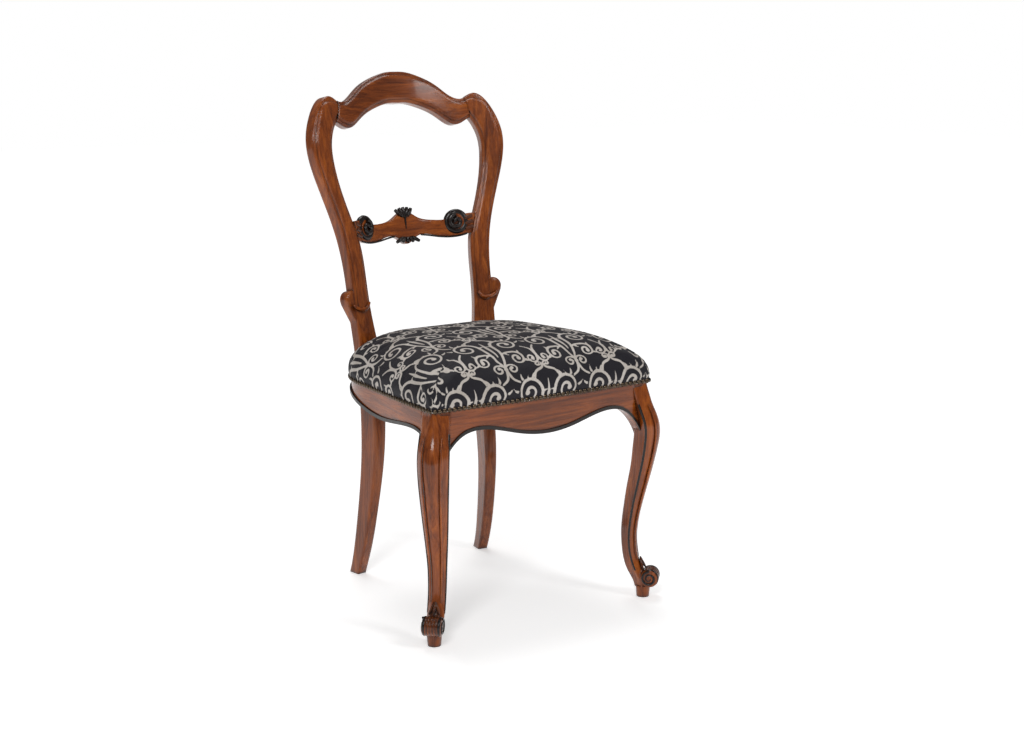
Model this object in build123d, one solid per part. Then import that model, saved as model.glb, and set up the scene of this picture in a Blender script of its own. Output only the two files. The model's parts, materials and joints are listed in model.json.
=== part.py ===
from build123d import *
import math
import os

# Side chair with a balloon back, cabriole front legs and a stuffed-over seat.
# Millimetres, +Z up, the front of the chair faces -Y, the floor is z = 0.

# Feet and legs
front_foot_x = 228.0
front_foot_y = -206.0
rear_foot_x = 142.0
rear_foot_y = 206.0
post_size = 36.0
post_overhang = 3.3
arris_round = 7.0
nose_share = 0.7
nose_run = 56.0
vertex_slack = 0.1
edge_ease = 2.5
scroll_radius = 16.5
scroll_width = 33.0
scroll_height = 37.5
scroll_reach = 12.5
scroll_eye_radius = 6.5
scroll_eye_rise = 1.2
peg_radius = 11.7
peg_top_radius = 13.5
peg_height = 21.0

# Seat frame
rail_top = 430.0
rail_thickness = 22.0
front_bow = 6.0
side_bulge = 44.0
side_shape = [(0.31, 0.47), (0.56, 0.76), (0.77, 0.99), (0.88, 0.84)]
seat_rear_y = 176.0
seat_rear_tuck = 6.0
corner_round = 6.0
nail_line = 407.0
bead_height = 6.0
bead_rise = 2.5
rear_rail_bottom = 372.0

# Back
back_rake = 11.8
back_y = 184.0
knob_height = 537.0
bow_radius = 620.0
bow_depth = 13.0
frame_thickness = 22.0
field_rise = 4.0
field_inset = 6.5
field_round = 3.0
frame_round = 2.5
knob_radius = 16.5
knob_round = 4.0
knob_slope = 46.0
knob_lean = 25.0
stile_outer_x = 151.0
stile_inner_x = 105.0
stile_foot_z = 440.0
leg_lap = 6.0
leg_shy = 0.4
mid_rail_radius = 240.0
mid_rail_depth = 41.0
mid_rail_thickness = 15.0
mid_scroll_radius = 18.5
mid_scroll_x = 100.0
mid_scroll_z = 665.5
mid_scroll_rise = 3.0

# Joinery
dowel_radius = 5.0
slim_dowel_radius = 4.0
dowel_length = 50.0
slim_dowel_length = 34.0
heel_dowel_out = 1.0
heel_dowel_axis = (-0.75, 0.66, 0)
mid_dowel_radius = 3.0
mid_dowel_length = 26.0
mid_dowel_x = 123.0
mid_dowel_z = 660.0
dowel_clearance = 0.1
dowel_drop = 13.0
dowel_step = 15.0
block_leg = 62.0
block_height = 40.0
block_drop = 6.0
screw_radius = 2.2
screw_length = 32.0
screw_head_radius = 4.2
screw_head_height = 2.6

# Upholstery
cover_thickness = 2.0
skirt_bottom = 402.0
skirt_gap = 0.8
cushion_top = 490.0
# Cushion: drop below the top, reach beyond the rails, corner radius
cushion_shape = [(60, 4.5, 10), (46, 5, 14), (34, 3, 20), (24, -5, 30), (16, -20, 42), (8, -50, 58),
                 (2.5, -85, 60), (0, -118, 45)]
stile_gap = 1.0
webbing_width = 48.0
webbing_thickness = 1.5
webbing_pitch = 82.0
webbing_lap = 14.0
webbing_count = 4
webbing_shift = -22.0
tack_radius = 2.4
tack_head = 0.7
hessian_thickness = 0.8
layer_gap = 0.3
nail_radius = 4.5
nail_rise = 2.6
nail_pitch = 9.6
nail_gap = 0.2
dust_gap = 0.3
dust_cloth_thickness = 0.8

# Cabriole section: height, outer and inner reach along the diagonal, half width across it
leg_sections = [
    (384, 8.0, -44.0, 25.5),
    (366, 14.5, -37.5, 25.5),
    (343, 25.5, -28.5, 27.0),
    (319, 31.0, -23.0, 27.5),
    (285, 27.5, -24.5, 26.5),
    (250, 19.5, -27.5, 24.5),
    (213, 10.0, -33.5, 22.5),
    (168, -1.5, -39.5, 19.5),
    (130, -8.5, -43.0, 17.0),
    (98, -9.0, -42.0, 16.2),
    (72, -3.5, -38.5, 16.0),
    (46, 10.0, -29.5, 16.0),
    (18, 13.0, -16.5, 13.5),
]

# Sabre rear leg: height, centre x inward of the foot, centre y ahead of the foot, width, depth
rear_leg_sections = [
    (0, 0.0, 0.0, 20.0, 27.0),
    (42, 1.5, 14.0, 21.0, 29.0),
    (90, 3.9, 24.7, 22.0, 33.0),
    (168, 8.0, 36.5, 23.0, 38.0),
    (243, 13.0, 40.5, 25.0, 42.0),
    (310, 17.0, 36.0, 29.0, 41.0),
    (400, 16.5, 31.5, 41.0, 32.0),
]
rear_leg_turn = 9.0

# Back outline, right half, as (x, height) on the raked plane
stile_outer_curve = [(153, 500), (155, 587), (164, 650), (194, 742), (211.5, 812), (199, 868), (152, 906)]
stile_inner_curve = [(114, 510), (117, 575), (122, 635), (143, 701), (164, 785), (164, 820)]
joint_foot = (147.0, 860.0)
joint_head = (140.0, 899.0)
crest_top_curve = [(129, 897.5), (114, 903), (92, 920), (66, 937), (36, 949), (0, 953.5)]
crest_low_curve = [(133, 853), (118, 849.5), (95, 862), (67, 880), (36, 891.5), (0, 895)]
tongue = (136.0, 524.0)
tongue_radius = 12.0
knob_x = 156.5
mid_rail_low = [(138, 645), (104, 639), (74, 640), (34, 648), (14, 640), (0, 632)]
mid_rail_high = [(138, 678), (112, 678), (84, 672), (58, 673), (28, 680), (12, 690), (0, 694)]

# Lower edges of the rails: along the rail, height
front_edge = [(0, 342), (52, 347.5), (96, 358.5), (138, 365), (168, 360), (194, 341), (216, 306)]
side_edge = [(-222, 310), (-196, 344), (-172, 361), (-130, 366), (-72, 360), (-8, 356), (53, 363), (150, 386)]

cos_rake = math.cos(math.radians(back_rake))
sin_rake = math.sin(math.radians(back_rake))
back_plane = Plane(origin=(0, back_y, knob_height), x_dir=(1, 0, 0), z_dir=(0, -cos_rake, sin_rake))
post_x = front_foot_x + (post_overhang - post_size / math.sqrt(2)) / math.sqrt(2)
post_y = front_foot_y - (post_overhang - post_size / math.sqrt(2)) / math.sqrt(2)
frame_x = post_x + post_size / 2
frame_y = post_y - post_size / 2
nodes = {}


def mirrored(shape):
    return mirror(shape, about=Plane.YZ)


def pair(name, right):
    nodes[name + "_right"] = right
    nodes[name + "_left"] = mirrored(right)


def rod(start, along, radius, length):
    """A round bar centred on start, running along a direction."""
    return Plane(origin=start, z_dir=along) * Cylinder(radius, length)


def bored(solid, dowels):
    """A piece with the holes that its dowels sit in."""
    for start, along, radius, length in dowels:
        solid = solid - rod(start, along, radius + dowel_clearance, length + 2 * dowel_clearance)
    return solid


def both_sides(dowels):
    flipped = [((-p[0], p[1], p[2]), (-d[0], d[1], d[2]), r, n) for p, d, r, n in dowels]
    return dowels + flipped


# Back

def on_back(x, z):
    return (x, (z - knob_height) / cos_rake)


def back_point(x, z, depth):
    """A point in the chair's frame, depth behind the flat front plane of the back."""
    u, v = on_back(x, z)
    return back_plane.from_local_coords(Vector(u, v, -depth))


def bow_front(x):
    """How far the bowed front of the back stands behind the flat plane."""
    return bow_depth - x * x / (2 * bow_radius)


def flip(points):
    return [(-x, z) for x, z in points]


def curve(points, tangents=None):
    return Spline([on_back(x, z) for x, z in points], tangents=tangents)


def stile_edges():
    """Outer and inner edge of the right stile, from its plain foot to the crest joint."""
    foot_out = (stile_outer_x, stile_foot_z)
    foot_in = (stile_inner_x, stile_foot_z)
    outer = curve([foot_out] + stile_outer_curve + [joint_head], [(0, 1), (-0.82, -0.57)])
    inner = curve([foot_in] + stile_inner_curve + [joint_foot], [(0.1, 1), (-0.6, 0.8)])
    return outer, inner


def closed_between(one, other):
    return make_face([one, Line(one @ 1, other @ 1), other, Line(other @ 0, one @ 0)])


def shifted(edge, distance):
    """A curve beside an edge, run on past its upper end by twice the distance."""
    points = []
    for i in range(13):
        t = i / 12
        along = edge % t
        points.append(edge @ t + Vector(-along.Y, along.X, 0) * distance)
    points.append(points[-1] + (edge % 1) * abs(2 * distance))
    return Spline(points)


def field_face(outer, inner):
    """The raised middle of the stile's moulding, which ends in a tongue above the plain foot."""
    field = closed_between(shifted(outer, field_inset), shifted(inner, -field_inset))
    u, v = on_back(*tongue)
    span = 3 * stile_outer_x
    keep = Pos(0, v + span / 2) * Rectangle(2 * span, span)
    keep += Pos(u, v) * Circle(tongue_radius)
    return (field & keep) - crest_zone()


def crest_zone():
    """The part of the back's outline between the two crest joints."""
    run = (joint_head[0] - joint_foot[0]) / (joint_head[1] - joint_foot[1])
    reach = 90.0
    top = (joint_head[0] + run * reach, joint_head[1] + reach)
    low = (joint_foot[0] - run * reach, joint_foot[1] - reach)
    points = [low, top] + flip([top, low])
    return make_face(Polyline([on_back(x, z) for x, z in points], close=True))


def moulded_section(height):
    """Cross-section of the crest: a board with eased edges and a raised, rounded field."""
    back = field_rise + frame_thickness
    points = [(0, -field_rise), (field_inset, -field_rise), (field_inset, 0), (height - field_inset, 0),
              (height - field_inset, -field_rise), (height, -field_rise), (height, -back), (0, -back)]
    face = make_face(Polyline(points, close=True))
    field = [v for v in face.vertices() if v.Y > -field_rise / 2]
    face = fillet(field, field_round)
    rim = [v for v in face.vertices() if v.X < 0.1 or v.X > height - 0.1]
    return fillet(rim, frame_round)


def crest_section(low, high):
    """The moulded section standing on the bowed back between two points of its outline."""
    u0, v0 = on_back(*low)
    u1, v1 = on_back(*high)
    foot = Vector(u0, v0, -bow_front(u0))
    across = Vector(u1 - u0, v1 - v0, 0)
    normal = across.cross(Vector(0, 0, 1))
    return Plane(origin=foot, x_dir=across, z_dir=normal) * moulded_section(across.length)


def make_crest():
    pairs = [(joint_foot, joint_head)] + list(zip(crest_low_curve, crest_top_curve))
    half = [crest_section(low, high) for low, high in pairs]
    other = [crest_section((-low[0], low[1]), (-high[0], high[1])) for low, high in pairs[:-1]]
    return loft(half + other[::-1])


def make_stile_top():
    """The right stile from its plain foot to the crest joint, turned to follow the bow."""
    outer, inner = stile_edges()
    base = extrude(closed_between(outer, inner), amount=-frame_thickness)
    base = fillet(long_edges(base, 1.5 * frame_thickness), frame_round)
    raised = extrude(field_face(outer, inner), amount=field_rise + 1)
    rim = [e for e in long_edges(raised, frame_thickness) if e.center().Z > field_rise]
    raised = Pos(0, 0, -1) * fillet(rim, field_round)
    knob = Pos(*on_back(knob_x, knob_height)) * Cylinder(knob_radius, frame_thickness)
    knob = fillet(knob.edges().filter_by(GeomType.CIRCLE), knob_round)
    knob = Pos(0, 0, -frame_thickness / 2) * knob
    return stile_place() * (base + raised + knob + knob_shoulder())


def knob_shoulder():
    """The slope below the knob, tangent to it and running out on the plain foot of the stile."""
    lean = math.radians(knob_lean)
    inside = stile_outer_x - knob_round
    touch = (knob_x + knob_radius * math.cos(lean), knob_height - knob_radius * math.sin(lean))
    end = knob_height - knob_slope
    outline = [(inside, knob_height), touch, (stile_outer_x, end), (inside, end)]
    face = make_face(Polyline([on_back(x, z) for x, z in outline], close=True))
    return Pos(0, 0, -knob_round / 2) * extrude(face, amount=knob_round - frame_thickness)


def stile_place():
    """Where the right stile's flat front lies, tangent to the bow at the crest joint."""
    turn = math.degrees(math.asin(joint_foot[0] / bow_radius))
    hinge = Pos(joint_foot[0], 0, -bow_front(joint_foot[0])) * Rot(0, -turn, 0)
    return back_plane.location * hinge * Pos(-joint_foot[0], 0, -field_rise)


def long_edges(solid, length):
    return [e for e in solid.edges() if e.length > 2 * length]


def rear_leg(grow):
    """The sabre leg up to the stile's foot, with every section grown by a clearance."""
    sections = []
    for z, inward, ahead, width, depth in rear_leg_sections:
        spot = Plane(origin=(rear_foot_x - inward, rear_foot_y - ahead, z)).rotated((0, 0, -rear_leg_turn))
        sections.append(spot * RectangleRounded(width + 2 * grow, depth + 2 * grow, edge_ease))
    middle = (stile_outer_x + stile_inner_x) / 2
    head = Pos(middle, on_back(0, stile_foot_z)[1] + leg_lap, -frame_thickness / 2)
    width = stile_outer_x - stile_inner_x + 2 * (grow - leg_shy)
    depth = frame_thickness + 2 * (grow - leg_shy)
    sections.append(stile_place() * head * Rot(-90, 0, 0) * RectangleRounded(width, depth, frame_round))
    return loft(sections)


def stile_envelope():
    """The spaces that the cushion leaves round the right stile and the head of its leg."""
    width = stile_outer_x - stile_inner_x + 8 * stile_gap
    depth = frame_thickness + field_rise + 2 * stile_gap
    tall = 2 * (cushion_top - stile_foot_z)
    foot = on_back(0, stile_foot_z)[1]
    middle = (stile_outer_x + stile_inner_x) / 2 + 2 * stile_gap
    block = Pos(middle, foot + tall / 2, (field_rise - frame_thickness) / 2)
    return [stile_place() * block * Box(width, tall, depth), rear_leg(stile_gap)]


def make_mid_rail(stiles):
    """The carved lower back rail, bowed more than the crest, cut to the stiles' inner walls."""
    low = curve(mid_rail_low + flip(mid_rail_low[:-1])[::-1])
    high = curve(mid_rail_high + flip(mid_rail_high[:-1])[::-1])
    face = closed_between(low, high)
    axis = mid_rail_radius - mid_rail_depth
    reach = 2 * crest_top_curve[-1][1]
    board = Cylinder(mid_rail_radius + mid_rail_thickness, reach) - Cylinder(mid_rail_radius, reach)
    board = Pos(0, 0, axis) * (Rot(90, 0, 0) * board)
    span = 4 * mid_rail_depth
    rail = (Pos(0, 0, -span) * extrude(face, amount=1.5 * span)) & board
    for m in (1, -1):
        back = mid_rail_depth - mid_scroll_x ** 2 / (2 * mid_rail_radius)
        scroll = Cylinder(mid_scroll_radius, mid_rail_thickness + mid_scroll_rise)
        scroll = fillet(scroll.edges().filter_by(GeomType.CIRCLE), mid_scroll_rise)
        turn = m * math.degrees(math.asin(mid_scroll_x / mid_rail_radius))
        u, v = on_back(m * mid_scroll_x, mid_scroll_z)
        shift = (mid_rail_thickness - mid_scroll_rise) / 2
        rail = rail + Pos(u, v, -back) * Rot(0, -turn, 0) * Pos(0, 0, -shift) * scroll
    rail = back_plane.location * rail
    ahead = stile_place() * extrude(closed_between(*stile_edges()), amount=mid_rail_depth)
    for stile in stiles + [ahead, mirrored(ahead)]:
        rail = rail - stile
    return max(rail.solids(), key=lambda piece: piece.volume)


# Front legs

def leg_plane(z):
    """Horizontal plane through the right front leg, its x axis along the outward diagonal."""
    return Plane(origin=(front_foot_x, front_foot_y, z), x_dir=(1, -1, 0), z_dir=(0, 0, 1))


def leg_section(z, outer, inner, half, nose):
    """A square standing on its corner, with the outward corner rounded and the others eased."""
    middle = (outer + inner) / 2
    tip = outer + (math.sqrt(2) - 1) * (nose - arris_round)
    face = make_face(Polyline([(tip, 0), (middle, half), (inner, 0), (middle, -half)], close=True))
    front = [v for v in face.vertices() if v.X > middle + half / 2]
    face = fillet(front, nose)
    rest = [v for v in face.vertices() if v.X < middle + vertex_slack]
    return leg_plane(z) * fillet(rest, edge_ease)


def make_front_leg():
    """Cabriole leg with a square post, a scrolled toe and a turned peg foot."""
    inner = post_overhang - post_size * math.sqrt(2)
    heights = (rail_top, nail_line + 8, skirt_bottom - 4)
    post = [(z, post_overhang, inner, post_size / math.sqrt(2), arris_round) for z in heights]
    shank = []
    for z, outer, inside, half in leg_sections:
        blend = min(1, (heights[-1] - z) / nose_run)
        shank.append((z, outer, inside, half, arris_round + blend * (nose_share * half - arris_round)))
    leg = loft([leg_section(*section) for section in post + shank])
    toe = Cylinder(scroll_radius, scroll_width)
    toe = fillet(toe.edges().filter_by(GeomType.CIRCLE), edge_ease)
    toe += Cylinder(scroll_eye_radius, scroll_width + 2 * scroll_eye_rise)
    leg += leg_plane(scroll_height) * Pos(scroll_reach, 0, 0) * Rot(90, 0, 0) * toe
    peg = Cone(peg_radius, peg_top_radius, peg_height, align=(Align.CENTER, Align.CENTER, Align.MIN))
    return leg + Pos(front_foot_x, front_foot_y, 0) * peg


# Seat frame

def seat_plan(grow, corner):
    """Outline of the seat rails from above, grown outward and with its own corner radius."""
    x = frame_x + grow
    y = frame_y - grow
    a = x - corner
    front = Spline([(-a, y), (0, y - front_bow), (a, y)], tangents=[(1, 0), (1, 0)])
    start = Vector(x, y + corner)
    end = Vector(stile_outer_x - seat_rear_tuck + grow, seat_rear_y + grow)
    points = [start]
    for t, swell in side_shape:
        points.append(start + (end - start) * t + Vector(side_bulge * swell * x / frame_x, 0))
    points.append(end)
    edges = [front, Line((end.X, end.Y), (-end.X, end.Y))]
    for m in (1, -1):
        middle = (m * (a + corner / math.sqrt(2)), y + corner - corner / math.sqrt(2))
        edges.append(ThreePointArc((m * a, y), middle, (m * x, start.Y)))
        edges.append(Spline([(m * p.X, p.Y) for p in points], tangents=[(0, 1), (-0.75 * m, 0.66)]))
    return make_face(edges)


def inner_plan():
    return seat_plan(-rail_thickness, corner_round)


def tall_band(outside, inside):
    """An upright band between two outlines, as tall as the deepest rail."""
    low = min(z for _, z in front_edge + side_edge)
    return Pos(0, 0, low) * extrude(outside - inside, amount=rail_top - low)


def shaped_face(edge, top):
    """A face above a rail's lower edge, up to a height, or as a strip along the edge if top is None."""
    low = Spline(edge)
    if top is None:
        high = Spline([(along, z + bead_height) for along, z in edge])
    else:
        high = Line((edge[0][0], top), (edge[-1][0], top))
    return closed_between(low, high)


def front_board(top):
    edge = flip(front_edge[1:])[::-1] + front_edge
    place = Plane(origin=(0, frame_y + rail_thickness, 0), x_dir=(1, 0, 0), z_dir=(0, -1, 0))
    return extrude(place * shaped_face(edge, top), amount=2 * rail_thickness)


def side_board(top):
    place = Plane(origin=(stile_inner_x, 0, 0), x_dir=(0, 1, 0), z_dir=(1, 0, 0))
    board = extrude(place * shaped_face(side_edge, top), amount=frame_x)
    front = Pos(0, frame_y + rail_thickness - frame_x, rail_top) * Box(4 * frame_x, 2 * frame_x, 2 * rail_top)
    return board - front


def largest(shape):
    return max(shape.solids(), key=lambda piece: piece.volume)


def make_rear_rail(ring, rear_legs):
    height = rail_top - rear_rail_bottom
    width = 2 * stile_inner_x + rail_thickness / 2
    zone = Pos(0, seat_rear_y, rear_rail_bottom + height / 2) * Box(width, 2 * rail_thickness, height)
    rail = ring & zone
    for leg in rear_legs:
        rail = rail - leg
    return largest(rail)


def front_block_face():
    x, y = frame_x - rail_thickness, frame_y + rail_thickness
    return make_face(Polyline([(x, y), (x, y + block_leg), (x - block_leg, y)], close=True))


def rear_block_face():
    x, y = stile_outer_x + block_leg, seat_rear_y - rail_thickness
    return make_face(Polyline([(x, y), (x, y - block_leg), (stile_inner_x - block_leg, y)], close=True))


def corner_block(face, cutter):
    low = rail_top - block_drop - block_height
    block = Pos(0, 0, low) * extrude(face & inner_plan(), amount=block_height)
    return largest(block - cutter)


def screw(head, along):
    """A wood screw whose head stands at a point and whose shank runs along a direction."""
    spot = Plane(origin=head, z_dir=along)
    bottom = (Align.CENTER, Align.CENTER, Align.MIN)
    return spot * (Cylinder(screw_head_radius, screw_head_height, align=bottom)
                   + Cylinder(screw_radius, screw_length, align=bottom))


def screw_hole(head, along):
    spot = Plane(origin=head, z_dir=along)
    bottom = (Align.CENTER, Align.CENTER, Align.MIN)
    sink_depth = block_leg + screw_head_height + dowel_clearance
    sink = Pos(0, 0, -block_leg) * Cylinder(screw_head_radius + dowel_clearance, sink_depth, align=bottom)
    return spot * (sink + Cylinder(screw_radius + dowel_clearance, screw_length + 1, align=bottom))


# Upholstery

def cushion(inset, bottom):
    """The stuffed seat: drawn-in sides, a rounded edge and a crowned top, shrunk by an inset."""
    skirt = skirt_gap + cover_thickness
    levels = [(bottom, skirt, corner_round)]
    levels.append((nail_line + nail_radius, skirt, corner_round))
    for drop, grow, corner in cushion_shape:
        levels.append((cushion_top - drop - inset, grow, corner))
    return loft([Pos(0, 0, z) * seat_plan(grow - inset, corner) for z, grow, corner in levels], ruled=True)


def make_cover(spaces):
    """The fabric over the stuffing, open underneath and notched round both stiles."""
    outside = cushion(0, skirt_bottom)
    inside = cushion(cover_thickness, skirt_bottom)
    mouths = [solid.faces().sort_by(Axis.Z)[0] for solid in (outside, inside)]
    hem = make_face(mouths[0].outer_wire().edges()) - make_face(mouths[1].outer_wire().edges())
    walls = [f for f in outside.faces() + inside.faces() if f not in mouths]
    return notched(Solid(Shell(walls + list(hem.faces()))), spaces)


def notched(solid, spaces):
    for space in spaces:
        solid = solid - space - mirrored(space)
    return largest(solid)


def make_foam(floor, spaces):
    block = cushion(cover_thickness + layer_gap, skirt_bottom)
    above = Pos(0, 0, floor + cushion_top / 2) * Box(4 * frame_x, 4 * frame_x, cushion_top)
    return notched(block & above, spaces)


def nail_spots():
    """Points round the lower edge of the cover, with the outward direction at each."""
    skirt = skirt_gap + cover_thickness
    outline = seat_plan(skirt + nail_gap, corner_round).face().outer_wire()
    count = round(outline.length / nail_pitch)
    spots = []
    for i in range(count):
        point = outline.position_at(i / count)
        along = outline.tangent_at(i / count)
        outward = Vector(along.Y, -along.X, 0)
        if outward.dot(point) < 0:
            outward = outward * -1
        beside_stile = stile_inner_x - nail_pitch < abs(point.X) < stile_outer_x + 2 * nail_pitch
        if not (beside_stile and point.Y > seat_rear_y - 2 * rail_thickness):
            spots.append((Vector(point.X, point.Y, nail_line), outward))
    return spots


def make_nails():
    ball = (nail_radius ** 2 + nail_rise ** 2) / (2 * nail_rise)
    dome = Pos(0, 0, nail_rise - ball) * Sphere(ball)
    dome = dome & (Pos(0, 0, ball) * Box(4 * ball, 4 * ball, 2 * ball))
    return [Plane(origin=point, z_dir=outward) * dome for point, outward in nail_spots()]


def webbing_strips(lengthwise):
    """One layer of webbing laid over the rails' top faces."""
    reach = seat_plan(webbing_lap - rail_thickness, corner_round)
    level = rail_top if lengthwise else rail_top + webbing_thickness
    strips = []
    for i in range(webbing_count):
        shift = (i - (webbing_count - 1) / 2) * webbing_pitch
        long = 3 * frame_x
        place = Pos(shift, 0) if lengthwise else Pos(0, shift + webbing_shift)
        size = (webbing_width, long) if lengthwise else (long, webbing_width)
        face = (place * Rectangle(*size)) & reach
        strips.append(Pos(0, 0, level) * extrude(face, amount=webbing_thickness))
    return strips


def tacks(strips, lengthwise):
    """Tacks through both ends of each strip, three across."""
    bottom = (Align.CENTER, Align.CENTER, Align.MIN)
    tack = Cylinder(tack_radius, tack_head, align=bottom)
    made = []
    for strip in strips:
        box = strip.bounding_box()
        for end in (-1, 1):
            for i in (-1, 0, 1):
                step = i * webbing_width / 3
                inset = webbing_lap / 2
                middle = box.center()
                if lengthwise:
                    spot = (middle.X + step, middle.Y + end * (box.size.Y / 2 - 2 * inset), box.max.Z)
                else:
                    spot = (middle.X + end * (box.size.X / 2 - 2 * inset), middle.Y + step, box.max.Z)
                made.append(Pos(*spot) * tack)
    return made


# Joints between the pieces: start, direction, radius, length

def rail_dowels():
    """Dowels of the right end of each joint in the seat frame."""
    front = []
    side = []
    rear = []
    heel = []
    for level in (0, 1):
        z = rail_top - dowel_drop - 2 * level * dowel_step
        spot = (frame_x - post_size, frame_y + rail_thickness / 2, z)
        front.append((spot, (1, 0, 0), dowel_radius, dowel_length))
        z = z - dowel_step
        spot = (frame_x - rail_thickness / 2, frame_y + post_size, z)
        side.append((spot, (0, 1, 0), dowel_radius, dowel_length))
        z = rail_top - dowel_drop - level * 1.6 * dowel_step
        y = seat_rear_y - rail_thickness / 2
        rear.append(((stile_inner_x, y, z), (1, 0, 0), slim_dowel_radius, slim_dowel_length))
        spot = (stile_outer_x + heel_dowel_out, y - rail_thickness / 3, z)
        heel.append((spot, heel_dowel_axis, slim_dowel_radius, slim_dowel_length))
    return front, side, rear, heel


def crest_dowels():
    """Two dowels across the right crest joint."""
    u0, v0 = on_back(*joint_foot)
    u1, v1 = on_back(*joint_head)
    line = Vector(u1 - u0, v1 - v0, 0).normalized()
    across = Vector(line.Y, -line.X, 0)
    turned = back_plane.from_local_coords(across) - back_plane.origin
    made = []
    for side in (-1, 1):
        middle = Vector((u0 + u1) / 2, (v0 + v1) / 2, 0) + line * side * 2.2 * slim_dowel_radius
        depth = bow_front(middle.X) + field_rise + frame_thickness / 2
        spot = back_plane.from_local_coords(middle - Vector(0, 0, depth))
        made.append((tuple(spot), tuple(turned), slim_dowel_radius, slim_dowel_length))
    return made


def mid_rail_dowels():
    depth = mid_rail_depth - mid_dowel_x ** 2 / (2 * mid_rail_radius) + mid_rail_thickness / 2
    slope = mid_dowel_x / (2 * mid_rail_radius)
    along = back_plane.from_local_coords(Vector(1, 0, slope)) - back_plane.origin
    spot = back_point(mid_dowel_x, mid_dowel_z, depth)
    return [(tuple(spot), tuple(along), mid_dowel_radius, mid_dowel_length)]


def add_dowels(name, dowels):
    nodes[name] = [rod(*dowel) for dowel in both_sides(dowels)]


def build_back(rear, heel):
    """Rear legs with their stiles, crest, mid rail and the dowels between them."""
    crest_pins = crest_dowels()
    mid_pins = mid_rail_dowels()
    leg = make_stile_top() + rear_leg(0)
    legs = [leg, mirrored(leg)]
    nodes["mid_rail"] = bored(make_mid_rail(legs), both_sides(mid_pins))
    nodes["crest_rail"] = bored(back_plane * make_crest(), both_sides(crest_pins))
    pair("rear_leg", bored(leg, crest_pins + mid_pins + rear + heel))
    add_dowels("crest_dowels", crest_pins)
    add_dowels("mid_rail_dowels", mid_pins)
    return leg


def build_seat_frame(rear_leg_right, front, side, rear, heel):
    """Front legs, the four rails with their beads, corner blocks, screws and dowels."""
    leg = make_front_leg()
    plan = seat_plan(0, corner_round)
    ring = tall_band(plan, inner_plan())
    bead = tall_band(seat_plan(bead_rise, corner_round + bead_rise), plan)
    legs = leg + mirrored(leg)
    front_rail = largest((ring & front_board(rail_top)) - legs)
    side_rail = largest((ring & side_board(rail_top)) - leg - rear_leg_right)
    rear_rail = make_rear_rail(ring, [rear_leg_right, mirrored(rear_leg_right)])
    front_block = corner_block(front_block_face(), leg)
    rear_block = corner_block(rear_block_face(), rear_leg_right)
    screws = block_screws()
    for hole in [screw_hole(*spot) for spot in screws]:
        front_rail = front_rail - hole - mirrored(hole)
        side_rail = side_rail - hole
        rear_rail = rear_rail - hole - mirrored(hole)
        front_block = front_block - hole
        rear_block = rear_block - hole
    pair("front_leg", bored(leg, front + side))
    nodes["front_rail"] = bored(front_rail, both_sides(front))
    pair("side_rail", bored(side_rail, side + heel))
    nodes["rear_rail"] = bored(rear_rail, both_sides(rear))
    nodes["front_rail_bead"] = largest((bead & front_board(None)) - legs)
    pair("side_rail_bead", largest((bead & side_board(None)) - leg - rear_leg_right))
    pair("front_corner_block", front_block)
    pair("rear_corner_block", rear_block)
    made = [screw(*spot) for spot in screws]
    nodes["corner_block_screws"] = made + [mirrored(piece) for piece in made]
    for name, dowels in (("front_rail_dowels", front), ("side_rail_front_dowels", side),
                         ("rear_rail_dowels", rear), ("side_rail_rear_dowels", heel)):
        add_dowels(name, dowels)


def block_screws():
    """Head point and direction of the right-hand screws, two in each block."""
    z = rail_top - block_drop - block_height / 2
    x = frame_x - rail_thickness
    y = frame_y + rail_thickness
    step = 0.7 * block_leg
    deep = screw_length - 0.7 * rail_thickness
    front = [((x - step, y + deep, z + 8), (0, -1, 0)), ((x - deep, y + step, z - 8), (1, 0, 0))]
    rear_y = seat_rear_y - rail_thickness
    rear = [((stile_inner_x - block_leg / 4, rear_y - deep, z), (0, 1, 0))]
    return front + rear


def build_upholstery():
    """Webbing, hessian, stuffing, cover, nails and dust cloth."""
    spaces = stile_envelope()
    cross = webbing_strips(False)
    nodes["webbing_lengthwise"] = [notched(strip, spaces) for strip in webbing_strips(True)]
    nodes["webbing_crosswise"] = cross
    nodes["webbing_tacks"] = tacks(cross, False)
    deck = rail_top + 2 * webbing_thickness + tack_head + layer_gap / 2
    sheet = seat_plan(-rail_thickness / 3, corner_round)
    nodes["hessian_deck"] = notched(Pos(0, 0, deck) * extrude(sheet, amount=hessian_thickness), spaces)
    nodes["seat_foam"] = make_foam(deck + hessian_thickness + layer_gap, spaces)
    nodes["seat_cover"] = make_cover(spaces)
    nodes["decorative_nails"] = make_nails()
    low = rail_top - block_drop - block_height - dust_cloth_thickness
    face = seat_plan(-rail_thickness - dust_gap, corner_round)
    cloth = Pos(0, 0, low) * extrude(face, amount=dust_cloth_thickness)
    for leg in (nodes["front_leg_right"], nodes["front_leg_left"]):
        cloth = cloth - leg
    nodes["dust_cloth"] = notched(cloth, spaces)


def build_chair():
    front, side, rear, heel = rail_dowels()
    rear_leg_right = build_back(rear, heel)
    build_seat_frame(rear_leg_right, front, side, rear, heel)
    build_upholstery()


def placed_on_floor():
    """All nodes moved so that the middle of the whole chair's base is the origin."""
    whole = Compound(children=[as_compound(piece) for piece in nodes.values()]).bounding_box()
    shift = Pos(-whole.center().X, -whole.center().Y, -whole.min.Z)
    return {name: shift * as_compound(piece) for name, piece in nodes.items()}


def as_compound(piece):
    solids = piece if isinstance(piece, list) else [piece]
    return Compound(children=[solid for part in solids for solid in part.solids()])


build_chair()
os.makedirs("parts", exist_ok=True)
for name, shape in placed_on_floor().items():
    export_step(shape, f"parts/{name}.step")
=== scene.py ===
import bpy
import bmesh
import json
import math
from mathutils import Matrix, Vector
from mathutils.kdtree import KDTree


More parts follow.
